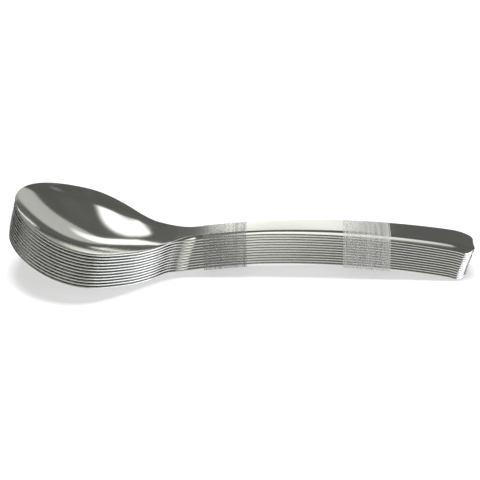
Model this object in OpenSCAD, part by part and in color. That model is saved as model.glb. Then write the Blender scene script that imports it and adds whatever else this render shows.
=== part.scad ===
// A bundle of nested soup spoons, held by two bands of clear tape.
// The bowls point to -X, the handle ends to +X, and the lowest spoon stands on z = 0.

/* [Spoon] */
// Length of one spoon from the tip of the bowl to the end of the handle
spoon_length = 150; // [130:1:180]
// Thickness of the stamped sheet, measured straight down
sheet_t = 0.65; // [0.5:0.05:1.2]

/* [Bowl] */
// Width across the rim of the bowl
bowl_w = 44.4; // [36:0.2:52]
// Width of the blunt tip of the bowl
tip_w = 6; // [3:0.2:10]
// Distance from the tip to the widest place of the bowl
bowl_front = 22.2; // [18:0.2:26]
// Distance from the widest place to the end of the neck
bowl_rear = 36.8; // [32:0.2:44]
// Height of the tip above the pressed flat
tip_rise = 15.7; // [10:0.1:20]
// Slope that the side walls of the bowl tend to
wall_slope = 0.59; // [0.3:0.01:0.8]
// Size of the curve from the pressed flat into the side walls
wall_curve = 14; // [6:0.5:24]

/* [Pressed flat under the bowl] */
// Distance from the tip to the pressed flat
pad_start = 30; // [27:0.5:32]
// Length of the pressed flat
pad_length = 7; // [4:0.5:8]
// Width of the pressed flat
pad_w = 4.8; // [3:0.2:8]

/* [Handle] */
// Width of the handle at the neck
neck_w = 8.4; // [6:0.2:12]
// Width of the handle near its end
end_w = 13; // [9:0.2:18]
// Distance from the tip to where the walls of the bowl start to fade into the neck
neck_start = 42.5; // [39:0.5:46]
// Length over which the neck rises from the pressed flat into the arch
neck_blend = 16; // [12:0.5:20]
// Distance from the tip to where the turned-down edges start
flange_start = 44.5; // [43:0.5:48]
// Slope that the turned-down edges tend to
flange_slope = 1.35; // [0.8:0.05:1.6]
// Distance from the tip to where the handle starts to widen
widening_at = 80; // [66:1:90]
// Radius of the arch along the handle
arch_r = 280; // [260:5:420]
// Distance from the tip to the crest of the arch
crest_at = 100; // [92:1:106]
// Radius of the bend between the top face and the turned-down edges
bend_r = 0.4; // [0.2:0.05:1.2]
// Radius of the two corners at the end of the handle
end_corner = 4; // [2:0.2:5]
// Height by which the end of the handle is turned down
end_drop = 1.5; // [0:0.1:3]
// Length over which the end of the handle is turned down
end_turn = 7; // [6:1:24]

/* [Nesting] */
// Gap between neighbouring spoons at the handle end, straight up
nest_gap = 0.19; // [0.16:0.01:0.4]
// Step of each spoon towards the handle end
nest_step = 0.21; // [0:0.01:0.3]
// Lift of each bowl above the one below, beyond the lift of the handle end
nest_lift = 0.29; // [0.2:0.01:0.5]
// Largest slip of a spoon out of the even steps
nest_slip = 0.18; // [0:0.01:0.2]

/* [Tape bands] */
// Thickness of the wound film
tape_t = 0.15; // [0.08:0.01:0.4]
// Room between the film and the edges that it binds
tape_gap = 0.05; // [0.04:0.01:0.2]
// Distance from the tip of the lowest spoon to the band at the neck
neck_band_at = 63.6; // [62:0.2:66]
// Width of the band at the neck
neck_band_w = 14.6; // [10:0.2:18]
// Distance from the tip of the lowest spoon to the band near the end
end_band_at = 109.2; // [96:0.2:116]
// Width of the band near the end
end_band_w = 16; // [10:0.2:20]
// Lean of the bands towards the bowl, from the lowest spoon to the highest
tape_lean = 0.6; // [0:0.1:2]

/* [Hidden] */
SPOONS = [for (i = [1 : 12]) str("spoon_", i < 10 ? "0" : "", i)];

top_level = len(SPOONS) - 1;
pad_end = pad_start + pad_length;
neck_end = bowl_front + bowl_rear;
corner_at = spoon_length - end_corner;

// Half of the top face of the handle, as a share of the half width
flat_share = 0.69;
// How much the walls of the bowl steepen where it narrows to the neck
gather_share = 0.15;
// Lines along the spoon, as shares of its half width
line_shares = [1, 0.86, flat_share, 0.4, pad_w / bowl_w];
across_shares = concat(-line_shares, [for (i = [len(line_shares) - 1 : -1 : 0]) line_shares[i]]);
// Slip of each spoon, lowest first, as a share of the largest slip
slip_shares = [0, -0.4, -0.9, -0.8, -0.9, -0.6, -0.5, 0, 0.1, -0.2, 0.5, 0.2];

// Steps between the stations along one spoon
front_steps = 7;
floor_steps = 2;
pad_steps = 2;
neck_steps = 8;
slim_steps = 3;
handle_steps = 8;
corner_steps = 4;
band_steps = 4;

function clamp(u) = max(0, min(1, u));
function smoothstep(u) = pow(clamp(u), 2) * (3 - 2 * clamp(u));
function steps(from, to, count) = [for (i = [1 : count]) from + (to - from) * i / count];

stations = concat(
    [0],
    [for (i = [1 : front_steps]) bowl_front * (1 - cos(90 * i / front_steps))],
    steps(bowl_front, pad_start, floor_steps),
    steps(pad_start, pad_end, pad_steps),
    steps(pad_end, neck_end, neck_steps),
    steps(neck_end, widening_at, slim_steps),
    steps(widening_at, corner_at, handle_steps),
    [for (i = [1 : corner_steps]) corner_at + end_corner * sin(90 * i / corner_steps)]
);

// Plan outline of one spoon: half widths at a distance x from the tip
tip_cut = sqrt(1 - pow(tip_w / bowl_w, 2));
function ellipse_half_w(x) = bowl_w / 2 * sqrt(1 - pow(tip_cut * (bowl_front - x) / bowl_front, 2));
function handle_half_w(x) =
    (neck_w + (end_w - neck_w) * clamp((x - widening_at) / (corner_at - widening_at))) / 2;
function rear_half_w(x) =
    handle_half_w(x)
    + (bowl_w / 2 - handle_half_w(x)) * (1 + cos(180 * clamp((x - bowl_front) / bowl_rear))) / 2;
function corner_inset(x) = end_corner * (1 - sqrt(1 - pow(clamp((x - corner_at) / end_corner), 2)));
function half_w(x) = (x < bowl_front ? ellipse_half_w(x) : rear_half_w(x)) - corner_inset(x);

// Heights that shape the sheet at a place x, y
function tip_z(x) = tip_rise * pow(max(0, pad_start - x) / pad_start, 2);
function wall_z(x, y) =
    let (gather = pow(bowl_w / 2 / rear_half_w(x), gather_share))
    let (out = max(0, abs(y) * gather - pad_w / 2))
    wall_slope * (sqrt(pow(wall_curve, 2) + pow(out, 2)) - wall_curve);
function flange_w(x) =
    (1 - flat_share) * handle_half_w(x) * smoothstep((x - flange_start) / (neck_end - flange_start));
function flange_drop(x, y) =
    let (out = max(0, abs(y) - rear_half_w(x) + flange_w(x)))
    flange_slope * (sqrt(pow(bend_r, 2) + pow(out, 2)) - bend_r);
function arch_drop(x) = arch_r - sqrt(pow(arch_r, 2) - pow(x - crest_at, 2));
function end_turn_drop(x) = end_drop * pow(clamp((x - spoon_length + end_turn) / end_turn), 2);

// The arch stands so high that the lowest place of the handle's edge touches z = 0
edge_drops = [
    for (x = stations)
        if (x > crest_at) arch_drop(x) + end_turn_drop(x) + flange_drop(x, half_w(x))
];
crest_rise = max(edge_drops);

// Upper face of the sheet: the bowl, then the neck, then the arched handle
function top_z(x, y) =
    let (rise = smoothstep((x - pad_end) / neck_blend))
    let (fade = smoothstep((x - neck_start) / (neck_end - neck_start)))
    sheet_t + tip_z(x) + rise * max(0, crest_rise - arch_drop(x) - end_turn_drop(x))
    + (1 - fade) * wall_z(x, y) - flange_drop(x, y);
function top_point(x, share) = [x, share * half_w(x), top_z(x, share * half_w(x))];
function under_point(x, share) = top_point(x, share) - [0, 0, sheet_t];

// Each spoon is the one below, stepped along, lifted and tipped about the handle end
nest_pitch = sheet_t + nest_gap;
nest_tip = asin(nest_lift / spoon_length);
function nested(level, p) =
    let (a = level * nest_tip)
    let (x = p.x - spoon_length)
    [
        x * cos(a) + p.z * sin(a) + spoon_length + level * nest_step + slip_shares[level] * nest_slip,
        p.y,
        p.z * cos(a) - x * sin(a) + level * nest_pitch
    ];

// The origin is the middle of the bundle's length
tip_places = [for (level = [0 : top_level]) nested(level, under_point(0, 0)).x];
end_places = [for (level = [0 : top_level]) nested(level, top_point(spoon_length, 0)).x];
middle_x = (min(tip_places) + max(end_places)) / 2;
function centred(p) = p - [middle_x, 0, 0];

// Triangles between neighbouring rings of points, with the last ring joined to the first if closed.
// The upper and the under face are cut along the same diagonals, so nested sheets keep their distance.
function skin_faces(rings, size, closed) = [
    for (i = [0 : rings - (closed ? 1 : 2)], j = [0 : size - 1])
        let (a = i * size, b = (i + 1) % rings * size, k = (j + 1) % size)
        each j % (size / 2) < size / 4
            ? [[a + j, a + k, b + k], [a + j, b + k, b + j]]
            : [[a + j, a + k, b + j], [a + k, b + k, b + j]]
];
// Triangles that close the first and the last ring, each a strip folded at its middle
function strip_cap(first, size, back) = [
    for (j = [0 : size / 2 - 2])
        let (a = first + j, b = first + j + 1, c = first + size - 2 - j, d = first + size - 1 - j)
        each back ? [[b, a, d], [b, d, c]] : [[a, b, c], [a, c, d]]
];

function spoon_ring(level, x) = concat(
    [for (share = across_shares) centred(nested(level, top_point(x, share)))],
    [for (share = -across_shares) centred(nested(level, under_point(x, share)))]
);

module spoon(level) {
    rings = len(stations);
    size = 2 * len(across_shares);
    color("silver")
        polyhedron(
            points = [for (x = stations) each spoon_ring(level, x)],
            faces = concat(
                skin_faces(rings, size, false),
                strip_cap(0, size, true),
                strip_cap((rings - 1) * size, size, false)
            )
        );
}

// The film runs over the highest spoon, down both stacks of edges and straight across below
function band_place(x, share, above, room) =
    let (side = abs(share) == 1 ? share : 0)
    let (top_x = x - tape_lean - top_level * nest_step)
    above
        ? nested(top_level, top_point(top_x, share)) + room * [0, side, 1]
        : nested(0, under_point(x, share)) + room * [0, side, -1];
function band_strip(xs, share, above) = concat(
    [for (x = xs) centred(band_place(x, share, above, tape_gap + tape_t))],
    [for (i = [len(xs) - 1 : -1 : 0]) centred(band_place(xs[i], share, above, tape_gap))]
);

module tape_band(from, width) {
    xs = concat([from], steps(from, from + width, band_steps));
    strips = concat(
        [for (share = across_shares) band_strip(xs, share, true)],
        [for (share = [1, -1]) band_strip(xs, share, false)]
    );
    color("whitesmoke", 0.5)
        polyhedron(
            points = [for (strip = strips) each strip],
            faces = [for (f = skin_faces(len(strips), len(strips[0]), true)) [f[2], f[1], f[0]]]
        );
}

module neck_tape_band() {
    tape_band(neck_band_at, neck_band_w);
}

module end_tape_band() {
    tape_band(end_band_at, end_band_w);
}

for (level = [0 : top_level]) {
    spoon(level);
}
neck_tape_band();
end_tape_band();
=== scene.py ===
import math
import bmesh
import bpy
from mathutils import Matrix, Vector


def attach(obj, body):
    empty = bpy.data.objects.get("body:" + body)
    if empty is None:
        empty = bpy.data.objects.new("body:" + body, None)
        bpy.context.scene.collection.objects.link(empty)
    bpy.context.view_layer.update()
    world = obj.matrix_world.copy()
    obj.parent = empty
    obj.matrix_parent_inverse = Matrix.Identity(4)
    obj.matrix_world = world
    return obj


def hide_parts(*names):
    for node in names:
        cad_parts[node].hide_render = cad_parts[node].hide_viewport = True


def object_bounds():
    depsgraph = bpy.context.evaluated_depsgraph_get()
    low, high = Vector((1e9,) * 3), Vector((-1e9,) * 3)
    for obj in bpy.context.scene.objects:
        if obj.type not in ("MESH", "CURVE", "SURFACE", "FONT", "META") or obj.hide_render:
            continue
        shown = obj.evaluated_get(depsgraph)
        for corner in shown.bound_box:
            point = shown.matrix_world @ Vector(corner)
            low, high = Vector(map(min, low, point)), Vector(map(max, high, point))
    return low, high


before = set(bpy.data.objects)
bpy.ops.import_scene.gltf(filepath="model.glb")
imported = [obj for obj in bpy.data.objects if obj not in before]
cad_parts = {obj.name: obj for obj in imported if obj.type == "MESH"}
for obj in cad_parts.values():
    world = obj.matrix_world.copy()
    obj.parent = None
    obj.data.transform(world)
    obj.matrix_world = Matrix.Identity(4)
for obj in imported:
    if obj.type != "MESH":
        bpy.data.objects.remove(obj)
cadLow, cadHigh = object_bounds()
mm = 0.001
print("frame loaded:", len(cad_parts), "nodes")


# Shader wiring: a wire holds one socket, and sums and products of wires add Math nodes
class Wire:
    def __init__(self, tree, socket=None):
        self.tree = tree
        self.socket = socket

    def node(self, kind, settings=None, sockets=None, out=0):
        made = self.tree.nodes.new(kind)
        for name, value in (settings or {}).items():
            setattr(made, name, value)
        for name, value in (sockets or {}).items():
            if isinstance(value, Wire):
                self.tree.links.new(value.socket, made.inputs[name])
            else:
                made.inputs[name].default_value = value
        return Wire(self.tree, made.outputs[out] if made.outputs else None)

    def maths(self, operation, first, second):
        return self.node("ShaderNodeMath", {"operation": operation}, {0: first, 1: second})

    def __add__(self, other):
        return self.maths("ADD", self, other)

    def __radd__(self, other):
        return self.maths("ADD", other, self)

    def __mul__(self, other):
        return self.maths("MULTIPLY", self, other)

    def __rmul__(self, other):
        return self.maths("MULTIPLY", other, self)


def newMaterial(name):
    material = bpy.data.materials.new(name)
    material.use_nodes = True
    material.node_tree.nodes.clear()
    return material, Wire(material.node_tree)


def finishMaterial(wire, shader):
    wire.node("ShaderNodeOutputMaterial", None, {"Surface": shader})


def mixColours(wire, factor, first, second):
    sockets = {"Factor": factor, 6: first, 7: second}  # 6, 7 and out 2 are the node's colour sockets
    return wire.node("ShaderNodeMix", {"data_type": "RGBA"}, sockets, out=2)


def noise(wire, place, scale, detail):
    stretched = wire.node("ShaderNodeMapping", None, {"Vector": place, "Scale": scale})
    return wire.node("ShaderNodeTexNoise", None, {
        "Vector": stretched, "Scale": 1.0, "Detail": detail, "Roughness": 0.6,
    })


# Camera: level with the handle, looking down on the bundle
cameraSetup = {
    "aim": (-0.7, 0.0, 0.0), "distance": 600.0, "elevation": 30.0,
    "lens": 135.8, "sensor": 36, "raise": 0.0658, "clip": (0.01, 20),
}


def makeCamera(setup):
    data = bpy.data.cameras.new("photoCamera")
    camera = bpy.data.objects.new("photoCamera", data)
    bpy.context.scene.collection.objects.link(camera)
    tilt = math.radians(setup["elevation"])
    back = Vector((0, -math.cos(tilt), math.sin(tilt)))
    camera.location = (Vector(setup["aim"]) + back * setup["distance"]) * mm
    camera.rotation_euler = (math.pi / 2 - tilt, 0, 0)
    data.lens = setup["lens"]
    data.sensor_width = setup["sensor"]
    data.shift_y = setup["raise"]
    data.clip_start, data.clip_end = setup["clip"]
    bpy.context.scene.camera = camera


makeCamera(cameraSetup)
print("camera set")

# One stamped spoon, in millimetres from the tip of its bowl
spoonSizes = {
    "length": 150.0, "sheet": 0.65, "edgeRound": 0.26, "edgeReach": 0.8, "edgeSteps": 5,
    "bowlWidth": 44.4, "tipRow": 5.0, "bowlFront": 22.2, "bowlRear": 36.8,
    "tipRise": 15.7, "lowestAt": 34.5, "tipCurve": 2.4,
    "wallSlope": 0.59, "wallCurve": 14.0, "wallGather": 0.15, "leastWall": 0.0001,
    "lipShare": 0.2, "lipStart": 0.72,
    "padStart": 30.0, "padLength": 7.0, "padWidth": 4.8,
    "lift": 0.2, "liftLength": 8.0, "liftEnd": (44.0, 14.0),
    "neckWidth": 8.4, "endWidth": 13.0, "neckStart": 42.5, "neckBlend": 16.0, "wideningAt": 80.0,
    "flangeStart": 44.5, "flangeSlope": 1.56, "flatShare": 0.69,
    "bendRadius": 0.6, "bendLimits": (0.8, 0.93),
    "archRadius": 280.0, "crestAt": 100.0, "endCorner": 4.0, "endDrop": 1.5, "endTurn": 7.0,
}
spoonRows = {"front": 26, "floor": 9, "pad": 7, "neck": 32, "slim": 9, "handle": 32, "corner": 10}
spoonLines = [0, 0.06, 0.12, 0.19, 0.27, 0.35, 0.43, 0.5, 0.56, 0.61, 0.65, 0.675, 0.69, 0.7, 0.712,
              0.725, 0.74, 0.757, 0.776, 0.798, 0.824, 0.855, 0.89, 0.935, 1]
spoonShares = [-share for share in reversed(spoonLines[1:])] + spoonLines

# How the spoons lie in one another, lowest first
nesting = {
    "gap": 0.19, "step": 0.21, "lift": 0.29, "slip": 0.18,
    "slips": [0, -0.4, -0.9, -0.8, -0.9, -0.6, -0.5, 0, 0.1, -0.2, 0.5, 0.2],
}


def clamp(value):
    return max(0.0, min(1.0, value))


def smooth(value):
    return clamp(value) ** 2 * (3 - 2 * clamp(value))


def neckEnd(s):
    return s["bowlFront"] + s["bowlRear"]


def handleHalf(x, s):
    widened = clamp((x - s["wideningAt"]) / (s["length"] - s["endCorner"] - s["wideningAt"]))
    return (s["neckWidth"] + (s["endWidth"] - s["neckWidth"]) * widened) / 2


def rearHalf(x, s):
    rear = clamp((x - s["bowlFront"]) / s["bowlRear"])
    return handleHalf(x, s) + (s["bowlWidth"] / 2 - handleHalf(x, s)) * (1 + math.cos(math.pi * rear)) / 2


def cornerTurn(x, s):
    return clamp((x - s["length"] + s["endCorner"]) / s["endCorner"])


def outlineHalf(x, s):
    if x < s["bowlFront"]:
        return s["bowlWidth"] / 2 * math.sqrt(max(0, 1 - (1 - x / s["bowlFront"]) ** 2))
    return rearHalf(x, s) - s["endCorner"] * (1 - math.sqrt(1 - cornerTurn(x, s) ** 2))


def flangeWidth(x, s):
    grown = smooth((x - s["flangeStart"]) / (neckEnd(s) - s["flangeStart"]))
    return (1 - s["flatShare"]) * handleHalf(x, s) * grown


def flangeDrop(x, y, s):
    out = max(0, abs(y) - rearHalf(x, s) + flangeWidth(x, s))
    return s["flangeSlope"] * (math.hypot(s["bendRadius"], out) - s["bendRadius"])


def handleDrop(x, s):
    arch = s["archRadius"] - math.sqrt(s["archRadius"] ** 2 - (x - s["crestAt"]) ** 2)
    return arch + s["endDrop"] * clamp((x - s["length"] + s["endTurn"]) / s["endTurn"]) ** 2


# The walls curve up from the middle of the bowl, steeper at the lip,
# and the rim is as high as that of walls beside a flat pad
def wallRise(x, y, s):
    gather = (s["bowlWidth"] / 2 / rearHalf(x, s)) ** s["wallGather"]
    rim = outlineHalf(x, s) * gather
    height = math.hypot(s["wallCurve"], max(0, rim - s["padWidth"] / 2)) - s["wallCurve"]
    if height < s["leastWall"]:
        return 0
    curve = (rim ** 2 - height ** 2) / (2 * height)
    lip = clamp((abs(y) * gather / rim - s["lipStart"]) / (1 - s["lipStart"])) ** 2 * height
    wall = math.hypot(curve, y * gather) - curve
    return s["wallSlope"] * (wall + s["lipShare"] * (lip - wall))


# Behind its lowest place the floor climbs at once, most in the middle
def floorLift(x, y, s):
    if x < s["lowestAt"]:
        return 0
    start, length = s["liftEnd"]
    climbed = smooth((x - s["lowestAt"]) / s["liftLength"])
    kept = 1 - smooth((x - start) / length)
    share = clamp(abs(y) / outlineHalf(x, s))
    return s["lift"] * climbed * kept * (1 - share ** 2)


def sheetTop(x, y, s):
    tip = s["tipRise"] * (max(0, s["lowestAt"] - x) / s["lowestAt"]) ** s["tipCurve"]
    rise = smooth((x - s["padStart"] - s["padLength"]) / s["neckBlend"])
    fade = smooth((x - s["neckStart"]) / (neckEnd(s) - s["neckStart"]))
    handle = rise * max(0, s["crestHeight"] - handleDrop(x, s))
    wall = (1 - fade) * wallRise(x, y, s)
    return s["sheet"] + tip + floorLift(x, y, s) + handle + wall - flangeDrop(x, y, s)


def evenSteps(start, end, count):
    return [start + (end - start) * i / count for i in range(1, count + 1)]


# Places along the middle of the sheet and along its edge: they part at the tip and the round corners
def spoonStations(s, rows):
    front, corner = s["bowlFront"], s["endCorner"]
    first = math.asin(s["tipRow"] / (s["bowlWidth"] / 2))
    pairs = []
    for i in range(rows["front"] + 1):
        share = i / rows["front"]
        edgeTurn = first + (math.pi / 2 - first) * share
        pairs.append((front * (1 - math.cos(math.pi / 2 * share)), front * (1 - math.cos(edgeTurn))))
    padEnd = s["padStart"] + s["padLength"]
    plain = evenSteps(front, s["padStart"], rows["floor"])
    plain += evenSteps(s["padStart"], padEnd, rows["pad"])
    plain += evenSteps(padEnd, neckEnd(s), rows["neck"])
    plain += evenSteps(neckEnd(s), s["wideningAt"], rows["slim"])
    plain += evenSteps(s["wideningAt"], s["length"] - corner, rows["handle"])
    pairs += [(x, x) for x in plain]
    for i in range(1, rows["corner"] + 1):
        share = i / rows["corner"]
        pairs.append((plain[-1] + corner * share, plain[-1] + corner * math.sin(math.pi / 2 * share)))
    return pairs


spoonStops = spoonStations(spoonSizes, spoonRows)
# The arch stands so high that the lowest place of the handle's edge meets the table
spoonSizes["crestHeight"] = max(
    handleDrop(x, spoonSizes) + flangeDrop(x, outlineHalf(x, spoonSizes), spoonSizes)
    for x, edge in spoonStops if x > spoonSizes["crestAt"]
)


# The bend of the handle's edges follows one of the lines along the sheet
def lineShare(x, line, s):
    flat = s["flatShare"]
    bowl, neck = s["bendLimits"]
    limit = bowl + (neck - bowl) * smooth((x - s["bowlFront"]) / (s["flangeStart"] - s["bowlFront"]))
    bend = min(limit, (rearHalf(x, s) - flangeWidth(x, s)) / outlineHalf(x, s))
    if abs(line) <= flat:
        return line / flat * bend
    return math.copysign(bend + (abs(line) - flat) / (1 - flat) * (1 - bend), line)


# The sheet is cut square to its slope, so one face ends a little inside the outline
def cutInset(x, s):
    half, step = outlineHalf(x, s), 0.05
    turned = cornerTurn(x, s)
    out = Vector((turned, math.sqrt(1 - turned ** 2)))
    if x < s["bowlFront"]:
        out = Vector((x - s["bowlFront"], half)).normalized()
    slope = (sheetTop(x, half, s) - sheetTop(x - out.x * step, half - out.y * step, s)) / step
    inset = s["sheet"] * abs(slope) / (1 + slope ** 2)
    return (inset, 0) if slope > 0 else (0, inset)


def insetPoint(x, y, inset, s):
    front = s["bowlFront"]
    if x < front:
        keep = 1 - inset / front
        return front + (x - front) * keep, y * keep
    turned = cornerTurn(x, s)
    return x - inset * turned, y * (1 - inset * math.sqrt(1 - turned ** 2) / outlineHalf(x, s))


def nested(level, point, s):
    turn = level * math.asin(nesting["lift"] / s["length"])
    x = point.x - s["length"]
    along = s["length"] + level * nesting["step"] + nesting["slips"][level] * nesting["slip"]
    return Vector((
        x * math.cos(turn) + point.z * math.sin(turn) + along,
        point.y,
        point.z * math.cos(turn) - x * math.sin(turn) + level * (s["sheet"] + nesting["gap"]),
    ))


# The lowest tip sets where the bundle lies along X
bundleStart = Vector((cadLow[0] / mm, 0, 0))


# Upper and lower point of the sheet at one place of the grid
def sheetPoints(row, line, insets, s):
    middle, edge = spoonStops[row]
    share = lineShare(edge, spoonShares[line], s)
    along, out = middle + (edge - middle) * share ** 2, share * outlineHalf(edge, s)
    points = []
    for under in (0, 1):
        x, y = insetPoint(along, out, insets[row][under], s)
        points.append(Vector((x, y, sheetTop(x, y, s) - s["sheet"] * under)))
    return points


# A grid is thickened, its side is divided, and every point is then put in its place
def makeSheet(s):
    bm = bmesh.new()
    rows, lines = len(spoonStops) - 1, len(spoonShares) - 1
    bmesh.ops.create_grid(bm, x_segments=rows, y_segments=lines, size=0.5)
    made = bmesh.ops.extrude_face_region(bm, geom=bm.faces[:], use_keep_orig=True)
    underVerts = {part for part in made["geom"] if isinstance(part, bmesh.types.BMVert)}
    bmesh.ops.translate(bm, vec=(0, 0, -1), verts=list(underVerts))
    sides = [e for e in bm.edges if (e.verts[0] in underVerts) != (e.verts[1] in underVerts)]
    bmesh.ops.subdivide_edges(bm, edges=sides, cuts=s["edgeSteps"], use_grid_fill=True)
    cut = bm.faces.layers.float.new("cutEdge")
    for f in bm.faces:
        f[cut] = 1 if any(-0.99 < v.co.z < -0.01 for v in f.verts) else 0  # between the two faces
    insets = [cutInset(edge, s) for middle, edge in spoonStops]
    places = [[sheetPoints(row, line, insets, s) for line in range(lines + 1)] for row in range(rows + 1)]
    for v in bm.verts:
        row, line, depth = round((v.co.x + 0.5) * rows), round((v.co.y + 0.5) * lines), -v.co.z
        upper, lower = places[row][line]
        innerUpper, innerLower = places[min(max(row, 1), rows - 1)][min(max(line, 1), lines - 1)]
        out = (upper + lower - innerUpper - innerLower) / 2
        bulge = min(s["edgeRound"], out.length * s["edgeReach"]) * (math.sin(math.pi * depth) - 1)
        across = (upper - lower) / 2 * math.cos(math.pi * depth)
        v.co = (upper + lower) / 2 + across + out.normalized() * bulge
    bmesh.ops.recalc_face_normals(bm, faces=bm.faces[:])
    return bm


def makeSpoon(level, sheet, s, material):
    bm = sheet.copy()
    for v in bm.verts:
        v.co = (nested(level, v.co, s) + bundleStart) * mm
    number = "%02d" % (level + 1)
    finishPiece(bm, "spoon" + number + "Steel", "spoon_" + number, material)


def finishPiece(bm, name, node, material):
    for f in bm.faces:
        f.smooth = True
    mesh = bpy.data.meshes.new(name)
    bm.to_mesh(mesh)
    bm.free()
    mesh.materials.append(material)
    piece = bpy.data.objects.new(name, mesh)
    bpy.context.scene.collection.objects.link(piece)
    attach(piece, "root")
    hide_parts(node)


# Polished stainless steel with fine brush lines along the spoon, and duller cut edges
steelLook = {
    "dark": (0.575, 0.58, 0.545, 1), "light": (0.655, 0.66, 0.625, 1), "smudgeShare": 0.6,
    "brushScale": (90, 3200, 3200), "smudgeScale": (70, 70, 70), "nickScale": (1500, 1500, 1500),
    "roughness": 0.05, "brushRoughness": 0.04, "smudgeRoughness": 0.04, "cutRoughness": 0.12,
    "nicks": 45.0, "bump": 0.02, "bumpDepth": 0.00005,
}


def makeSteel(look):
    material, wire = newMaterial("polishedSteel")
    place = wire.node("ShaderNodeTexCoord", out="Object")
    brush = noise(wire, place, look["brushScale"], detail=4)
    smudge = noise(wire, place, look["smudgeScale"], detail=3)
    cutEdge = wire.node("ShaderNodeAttribute", {"attribute_name": "cutEdge"}, out="Fac")
    share = look["smudgeShare"]
    tone = mixColours(wire, smudge * share + brush * (1 - share), look["dark"], look["light"])
    rough = look["roughness"] + brush * look["brushRoughness"] + smudge * look["smudgeRoughness"]
    nicks = noise(wire, place, look["nickScale"], detail=3)
    bump = wire.node("ShaderNodeBump", None, {
        "Strength": look["bump"], "Distance": look["bumpDepth"],
        "Height": brush + nicks * cutEdge * look["nicks"],
    })
    finishMaterial(wire, wire.node("ShaderNodeBsdfPrincipled", None, {
        "Base Color": tone, "Metallic": 1.0, "Normal": bump,
        "Roughness": rough + cutEdge * look["cutRoughness"],
    }))
    return material


steel = makeSteel(steelLook)
sheet = makeSheet(spoonSizes)
for level in range(len(nesting["slips"])):
    makeSpoon(level, sheet, spoonSizes, steel)
sheet.free()
print("spoons made:", len(nesting["slips"]))

# Clear tape wound a little more than twice round the handles, each turn lying on the one below
tapeSizes = {
    "film": 0.055, "room": 0.06, "turnRise": 0.062, "turns": 2.12, "skew": 1.1, "lean": 0.6,
    "columns": 18, "borderWidth": 0.35, "sideRows": 40, "underRows": 10, "margin": 0.02,
}
# The neck band's tone of 0 gives its film the grey of painted shade; the end band's tone of 1 gives the pale
# film colour
tapeBands = {
    "neckTape": {"node": "neck_tape_band", "at": 63.6, "width": 14.6, "startRow": 70,
                 "haze": 1.0, "tone": 0.0},
    "endTape": {"node": "end_tape_band", "at": 109.2, "width": 16.0, "startRow": 74,
                "haze": 1.2, "tone": 1.0},
}


def topPoint(x, share, s):
    y = share * outlineHalf(x, s)
    return Vector((x, y, sheetTop(x, y, s)))


def tapePoint(x, room, place, s, t):
    topLevel = len(nesting["slips"]) - 1
    topX = x - t["lean"] - topLevel * nesting["step"]

    def high(share):
        side = share if abs(share) == 1 else 0
        return nested(topLevel, topPoint(topX, share, s), s) + Vector((0, side, 1)) * room

    def low(side):
        point = topPoint(x, side, s) - Vector((0, 0, s["sheet"]))
        return nested(0, point, s) + Vector((0, side, -1)) * room

    if place < len(spoonShares):
        return high(spoonShares[place])
    place -= len(spoonShares) - 1
    if place <= t["sideRows"]:
        return high(1).lerp(low(1), place / t["sideRows"])
    place -= t["sideRows"]
    if place <= t["underRows"]:
        return low(1).lerp(low(-1), place / t["underRows"])
    return low(-1).lerp(high(-1), (place - t["underRows"]) / t["sideRows"])


def makeTape(name, band, s, t, material):
    rowsPerTurn = len(spoonShares) + 2 * t["sideRows"] + t["underRows"] - 1
    rows = round(rowsPerTurn * t["turns"])
    columns = t["columns"]
    filmWidth = band["width"] - t["skew"] - 2 * t["margin"]
    bm = bmesh.new()
    bmesh.ops.create_grid(bm, x_segments=columns, y_segments=rows, size=0.5)
    border = bm.verts.layers.float.new("border")
    haze = bm.verts.layers.float.new("haze")
    tone = bm.verts.layers.float.new("tone")
    for v in bm.verts:
        row, column = round((v.co.y + 0.5) * rows), round((v.co.x + 0.5) * columns)
        across = t["borderWidth"] + (filmWidth - 2 * t["borderWidth"]) * (column - 1) / (columns - 2)
        across = min(max(across, 0), filmWidth)
        v[border] = 1 if column in (0, columns) else 0
        v[haze], v[tone] = band["haze"], band["tone"]
        x = band["at"] + t["margin"] + t["skew"] * row / rows + across
        room = t["room"] + t["turnRise"] * row / rowsPerTurn
        v.co = tapePoint(x, room, (row + band["startRow"]) % rowsPerTurn, s, t) + bundleStart
    bm.normal_update()
    bmesh.ops.solidify(bm, geom=bm.faces[:], thickness=t["film"])
    bmesh.ops.recalc_face_normals(bm, faces=bm.faces[:])
    bmesh.ops.scale(bm, vec=(mm, mm, mm), verts=bm.verts[:])
    finishPiece(bm, name, band["node"], material)


# Clear film gone slightly hazy, with fine lines across its length and denser borders.
# The band near the bowls is painted greyer than the one near the ends: painted shade in the film's colour
tapeLook = {
    "paintedShadeGrey": (0.4, 0.41, 0.38, 1), "pale": (0.96, 0.95, 0.9, 1),
    "lineScale": (1300, 40, 40), "cloudScale": (120, 120, 120), "streakRange": (0.35, 0.7),
    "alpha": 0.04, "haze": 0.1, "streakShare": 0.7, "border": 0.3,
    "roughness": 0.3, "lineRoughness": 0.08, "bump": 0.05, "bumpDepth": 0.0001,
}


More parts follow.
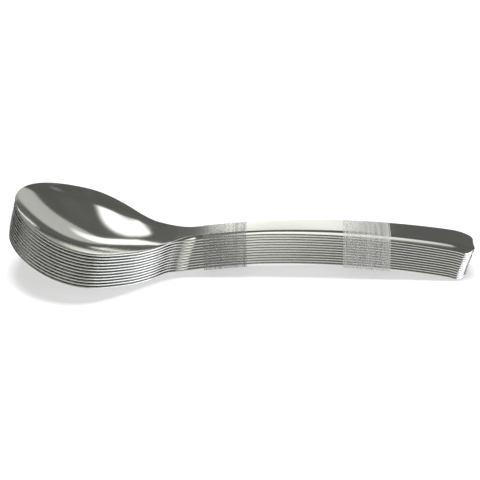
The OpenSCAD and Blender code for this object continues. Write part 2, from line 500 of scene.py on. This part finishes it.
def makeFilm(look):
    material, wire = newMaterial("clearTape")
    place = wire.node("ShaderNodeTexCoord", out="Object")
    lines = noise(wire, place, look["lineScale"], detail=2)
    cloud = noise(wire, place, look["cloudScale"], detail=2)
    border = wire.node("ShaderNodeAttribute", {"attribute_name": "border"}, out="Fac")
    haze = wire.node("ShaderNodeAttribute", {"attribute_name": "haze"}, out="Fac")
    tone = wire.node("ShaderNodeAttribute", {"attribute_name": "tone"}, out="Fac")
    bump = wire.node("ShaderNodeBump", None, {
        "Strength": look["bump"], "Distance": look["bumpDepth"], "Height": lines + cloud,
    })
    start, end = look["streakRange"]
    streaks = wire.node("ShaderNodeMapRange", None, {"Value": lines, "From Min": start, "From Max": end})
    share = look["streakShare"]
    veil = look["alpha"] + (streaks * share + cloud * (1 - share)) * look["haze"]
    finishMaterial(wire, wire.node("ShaderNodeBsdfPrincipled", None, {
        # The base colour goes from the painted shade grey of the neck band to the pale film, by each band's
        # tone
        "Base Color": mixColours(wire, tone, look["paintedShadeGrey"], look["pale"]),
        "Roughness": look["roughness"] + lines * look["lineRoughness"],
        "Alpha": veil * haze + border * look["border"], "Normal": bump,
    }))
    return material


film = makeFilm(tapeLook)
for name, band in tapeBands.items():
    makeTape(name, band, spoonSizes, tapeSizes, film)
print("tape wound:", len(tapeBands))

# Studio: a pale floor, soft-edged panels, and a dark tent that the camera doesn't see
floorLook = {"size": 4.0, "shade": (0.6, 0.6, 0.6, 1), "near": (0.46, 0.46, 0.46, 1), "fade": (250, 900)}
tentLook = {
    "radius": 1.9, "patches": (1.2, 1.2, 1.2), "dark": (0.1, 0.1, 0.1, 1), "light": (0.2, 0.2, 0.195, 1),
}
# Each panel covers a patch of the sky: degrees round from +Y at its left and right side, low and high,
# degrees up of its lower and upper side, left and right, the curve of its right side, the rise of its
# upper side, its distance, its glow left and right, and the share of each side that fades out.
# The key panels give most of the light, so they are sampled as lamps
panels = {
    "behindPanel": {"key": True, "left": (-19, -8.5), "right": (17, 17), "low": (13, 27), "high": (30, 31),
                    "bend": 1, "bulge": 0, "far": 650, "glow": (2.0, 0.3), "soft": (0.1, 0.2, 0.15, 0.08),
                    "tint": (1, 1, 0.98, 1)},
    "lowCard": {"key": False, "left": (-17, -12.5), "right": (26, 26), "low": (20.5, 5), "high": (30, 24),
                "bend": 1, "bulge": 11.5, "far": 220, "glow": (0.53, 0.53), "soft": (0.06, 0.04, 0.08, 0.06),
                "tint": (1, 1, 0.97, 1)},
    "highPanel": {"key": True, "left": (-17, -12), "right": (-5.5, 29), "low": (30, 30), "high": (61.5, 64),
                  "bend": 2, "bulge": 4.5, "far": 1150, "glow": (2.0, 2.0), "soft": (0.3, 0.3, 0.2, 0.16),
                  "tint": (1, 1, 0.99, 1)},
    "frontPanel": {"key": True, "left": (193, 193), "right": (146, 146), "low": (42.5, 38), "high": (58, 49),
                   "bend": 1, "bulge": 0, "far": 800, "glow": (1.9, 0.8), "soft": (0.15, 0.12, 0.3, 0.3),
                   "tint": (1, 0.99, 0.95, 1)},
    "rightPanel": {"key": True, "left": (143, 143), "right": (86, 86), "low": (-1, -1), "high": (28, 30),
                   "bend": 1, "bulge": 0, "far": 750, "glow": (3.8, 3.4), "soft": (0.04, 0.1, 0.02, 0.2),
                   "tint": (0.86, 0.88, 1, 1)},
    "leftCard": {"key": False, "left": (262, 262), "right": (180, 180), "low": (4, 4), "high": (34, 34),
                 "bend": 1, "bulge": 0, "far": 800, "glow": (0.65, 0.6), "soft": (0.2, 0.3, 0.2, 0.2),
                 "tint": (1, 1, 0.98, 1)},
    "windowCard": {"key": False, "left": (55, 55), "right": (68, 68), "low": (36, 36), "high": (52, 52),
                   "bend": 1, "bulge": 0, "far": 900, "glow": (0.2, 0.2), "soft": (0.5, 0.5, 0.5, 0.5),
                   "tint": (0.9, 0.93, 1, 1)},
}
fillLamps = {
    "floorFill": {"at": (0, -70, 1000), "size": (420, 420), "glow": 16.0, "tint": (1, 1, 1)},
}


def stageMesh(name, bm, material):
    mesh = bpy.data.meshes.new(name)
    bm.to_mesh(mesh)
    bm.free()
    mesh.materials.append(material)
    thing = bpy.data.objects.new(name, mesh)
    bpy.context.scene.collection.objects.link(thing)
    return thing


def makeFloor(look):
    bm = bmesh.new()
    bmesh.ops.create_grid(bm, x_segments=1, y_segments=1, size=look["size"])
    material, wire = newMaterial("paleFloor")
    seen = wire.node("ShaderNodeLightPath", out="Is Camera Ray")
    for ray in ("Is Glossy Ray", "Is Transmission Ray"):
        seen = seen + wire.node("ShaderNodeLightPath", out=ray)
    place = wire.node("ShaderNodeTexCoord", out="Object")
    away = wire.node("ShaderNodeVectorMath", {"operation": "LENGTH"}, {0: place}, out="Value")
    start, end = look["fade"]
    faded = wire.node("ShaderNodeMapRange", None, {
        "Value": away, "From Min": start * mm, "From Max": end * mm,
    })
    pale = mixColours(wire, faded, look["near"], (1, 1, 1, 1))
    glow = mixColours(wire, seen, (0, 0, 0, 1), pale)
    lit = wire.node("ShaderNodeBsdfDiffuse", None, {"Color": look["shade"]})
    shown = wire.node("ShaderNodeEmission", None, {"Color": glow, "Strength": 1.0})
    finishMaterial(wire, wire.node("ShaderNodeAddShader", None, {0: lit, 1: shown}))
    stageMesh("floor", bm, material)


def makeTent(look):
    bm = bmesh.new()
    bmesh.ops.create_uvsphere(bm, u_segments=48, v_segments=24, radius=look["radius"])
    material, wire = newMaterial("tentCloth")
    place = wire.node("ShaderNodeTexCoord", out="Object")
    patches = noise(wire, place, look["patches"], detail=2)
    cloth = mixColours(wire, patches, look["dark"], look["light"])
    finishMaterial(wire, wire.node("ShaderNodeEmission", None, {"Color": cloth, "Strength": 1.0}))
    material.cycles.emission_sampling = "NONE"
    stageMesh("darkTent", bm, material).visible_camera = False


def between(pair, share):
    return pair[0] + (pair[1] - pair[0]) * share


def makePanel(name, setup):
    steps = 20
    bm = bmesh.new()
    bmesh.ops.create_grid(bm, x_segments=steps, y_segments=steps, size=0.5)
    lit = bm.verts.layers.float.new("lit")
    for v in bm.verts:
        across, up = v.co.x + 0.5, v.co.y + 0.5
        leftSide = between(setup["left"], up)
        rightSide = between(setup["right"], up ** setup["bend"])
        turn = math.radians(between((leftSide, rightSide), across))
        top = between(setup["high"], across) + setup["bulge"] * 4 * across * (1 - across)
        climb = math.radians(between((between(setup["low"], across), top), up))
        left, right, low, high = setup["soft"]
        v[lit] = between(setup["glow"], across) / max(setup["glow"])
        for inside, soft in ((across, left), (1 - across, right), (up, low), (1 - up, high)):
            v[lit] *= smooth(inside / soft)
        v.co = Vector((math.sin(turn) * math.cos(climb), math.cos(turn) * math.cos(climb), math.sin(climb)))
        v.co *= setup["far"] * mm
    material, wire = newMaterial(name + "Cloth")
    shade = wire.node("ShaderNodeAttribute", {"attribute_name": "lit"}, out="Fac")
    colour = mixColours(wire, shade, (0, 0, 0, 1), setup["tint"])
    glow = wire.node("ShaderNodeEmission", None, {"Color": colour, "Strength": max(setup["glow"])})
    clear = wire.node("ShaderNodeBsdfTransparent", None, {"Color": (1, 1, 1, 1)})
    finishMaterial(wire, wire.node("ShaderNodeAddShader", None, {0: glow, 1: clear}))
    material.cycles.emission_sampling = "AUTO" if setup["key"] else "NONE"
    stageMesh(name, bm, material).visible_camera = False


def makeLamp(name, setup):
    data = bpy.data.lights.new(name, "AREA")
    data.shape = "RECTANGLE"
    data.size, data.size_y = setup["size"][0] * mm, setup["size"][1] * mm
    data.color = setup["tint"]
    data.energy = setup["glow"] * math.pi * data.size * data.size_y
    lamp = bpy.data.objects.new(name, data)
    lamp.location = Vector(setup["at"]) * mm
    lamp.rotation_euler = (-lamp.location).to_track_quat("-Z", "Y").to_euler()
    lamp.visible_camera = False
    lamp.visible_glossy = False
    bpy.context.scene.collection.objects.link(lamp)


def makeWorld():
    world = bpy.data.worlds.new("whiteRoom")
    world.use_nodes = True
    world.node_tree.nodes["Background"].inputs["Color"].default_value = (1, 1, 1, 1)
    world.node_tree.nodes["Background"].inputs["Strength"].default_value = 1.0
    bpy.context.scene.world = world


makeFloor(floorLook)
makeTent(tentLook)
for name, setup in panels.items():
    makePanel(name, setup)
for name, setup in fillLamps.items():
    makeLamp(name, setup)
makeWorld()
bpy.context.scene.view_settings.view_transform = "Standard"
print("studio lit:", len(panels) + len(fillLamps), "lights")
